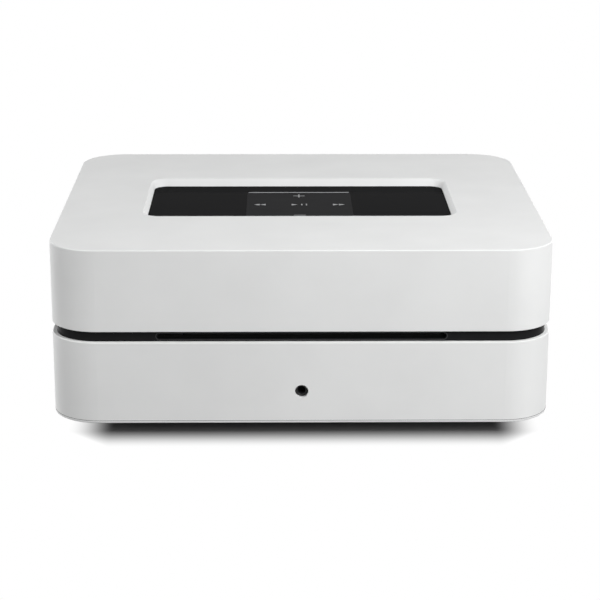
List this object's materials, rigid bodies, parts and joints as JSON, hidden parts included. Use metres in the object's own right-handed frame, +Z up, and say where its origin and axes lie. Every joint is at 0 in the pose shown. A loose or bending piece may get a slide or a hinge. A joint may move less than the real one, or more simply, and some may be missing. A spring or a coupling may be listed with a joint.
{
  "type": "network music streamer",
  "caption": "Flat box-shaped network music streamer: two white shells round a black band with a disc slot, a recessed touch glass on top and sockets in a rear bay.",
  "frame": {"origin": "on the surface that the feet stand on, below the middle of the body", "axes": "+Z up, -Y towards the front with the disc slot and headphone socket, +X to the right as seen from the front"},
  "size_m": [0.22, 0.192, 0.0835],
  "materials": {
    "white_plastic": "fine satin moulded plastic",
    "black_gloss": "polished black plastic",
    "black_plastic": "plain moulded black plastic",
    "black_glass": "black-backed polished glass",
    "grey_field": "smoked grey print behind gloss",
    "grey_mark": "printed grey",
    "light_guide": "clear light guide, unlit",
    "foot_rubber": "matt black rubber",
    "roller_rubber": "soft black rubber",
    "panel_steel": "black powder coat",
    "plain_steel": "zinc-plated sheet",
    "bright_nickel": "bright nickel plate",
    "contact_brass": "plated brass",
    "cast_aluminium": "cast and machined",
    "platter_mirror": "polished",
    "board_green": "solder-masked laminate",
    "chip_black": "moulded epoxy",
    "insert_red": "moulded red plastic",
    "insert_white": "moulded white plastic",
    "insert_orange": "moulded orange plastic",
    "winding_tape": "yellow insulating tape",
    "ferrite": "dark ferrite",
    "sleeve_blue": "shrunk sleeve",
    "ribbon_white": "flat flexible cable",
    "gear_plastic": "natural acetal",
    "felt_black": "dense felt"
  },
  "bodies": {
    "case": {"upper_shell": "white_plastic", "lower_shell": "white_plastic", "middle_frame": "black_gloss", "feet": "foot_rubber", "case_screws": "plain_steel", "touch_glass": "black_glass", "touch_field": "grey_field", "light_line": "light_guide", "key_marks": "grey_mark", "touch_board": "board_green", "rear_panel": "panel_steel", "phono_barrels": "bright_nickel", "phono_blocks": "black_plastic", "left_insert": "insert_white", "right_insert": "insert_red", "coax_insert": "insert_orange", "trigger_socket": "black_plastic", "infrared_socket": "black_plastic", "usb_shell": "bright_nickel", "usb_tongue": "insert_white", "service_socket": "bright_nickel", "lan_socket": "black_plastic", "lan_contacts": "contact_brass", "optical_socket": "black_plastic", "headphone_socket": "black_plastic", "power_inlet": "black_plastic", "inlet_pins": "bright_nickel", "chassis_plate": "plain_steel", "main_board": "board_green", "board_standoffs": "contact_brass", "board_screws": "plain_steel", "board_chips": "chip_black", "processor_heat_sink": "cast_aluminium", "board_capacitors": "sleeve_blue", "wireless_module": "plain_steel", "touch_ribbon": "ribbon_white", "power_board": "board_green", "transformer_core": "ferrite", "transformer_winding": "winding_tape", "power_capacitors": "sleeve_blue", "power_heat_sink": "cast_aluminium", "hard_drive_base": "cast_aluminium", "hard_drive_cover": "plain_steel", "hard_drive_board": "board_green", "disc_drive_base": "plain_steel", "disc_drive_cover": "plain_steel", "slot_felt": "felt_black", "turntable_motor": "plain_steel", "guide_rods": "plain_steel", "sled_motor": "plain_steel", "loading_motor": "plain_steel"},
    "turntable": {"turntable": "black_plastic"},
    "sled": {"laser_sled": "black_plastic"},
    "lead_screw": {"lead_screw": "plain_steel"},
    "feed_roller": {"feed_roller": "roller_rubber"},
    "loading_gear": {"loading_gear": "gear_plastic"},
    "loading_pinion": {"loading_pinion": "gear_plastic"},
    "platters": {"platters": "platter_mirror"},
    "actuator_arm": {"actuator_arm": "cast_aluminium"},
    "optical_shutter": {"optical_shutter": "black_plastic"}
  },
  "joints": [
    {"name": "turntable_spin", "type": "hinge", "parent": "case", "child": "turntable", "pos_m": [0, -0.025, 0.042], "axis": [0, 0, 1], "continuous": true},
    {"name": "sled_travel", "type": "slide", "parent": "case", "child": "sled", "axis": [-0.7071, 0.7071, 0], "range_m": [0, 0.034]},
    {"name": "lead_screw_turn", "type": "hinge", "parent": "case", "child": "lead_screw", "pos_m": [-0.01556, 0.01601, 0.0397], "axis": [-0.7071, 0.7071, 0], "range_deg": [0, 4081]},
    {"name": "feed_roller_turn", "type": "hinge", "parent": "case", "child": "feed_roller", "pos_m": [0, -0.084, 0.0402], "axis": [1, 0, 0], "continuous": true},
    {"name": "loading_gear_turn", "type": "hinge", "parent": "case", "child": "loading_gear", "pos_m": [0.062, -0.0775, 0.0402], "axis": [1, 0, 0], "continuous": true},
    {"name": "loading_pinion_turn", "type": "hinge", "parent": "case", "child": "loading_pinion", "pos_m": [0.062, -0.07235, 0.0402], "axis": [1, 0, 0], "continuous": true},
    {"name": "platter_spin", "type": "hinge", "parent": "case", "child": "platters", "pos_m": [-0.0335, 0.0226, 0.02], "axis": [0, 0, 1], "continuous": true},
    {"name": "actuator_swing", "type": "hinge", "parent": "case", "child": "actuator_arm", "pos_m": [-0.0115, -0.033, 0.022], "axis": [0, 0, 1], "range_deg": [-36, 0]},
    {"name": "shutter_swing", "type": "hinge", "parent": "case", "child": "optical_shutter", "pos_m": [-0.02112, 0.086, 0.0637], "axis": [-1, 0, 0], "range_deg": [0, 80], "stiffness_Nm_per_rad": 0.00001, "springref_deg": -11.46}
  ],
  "couplings": [
    {"joint": "lead_screw_turn", "follows": "sled_travel", "rad_per_m": 2094.4},
    {"joint": "loading_gear_turn", "follows": "feed_roller_turn", "ratio": -1},
    {"joint": "loading_pinion_turn", "follows": "feed_roller_turn", "ratio": 1.75}
  ]
}
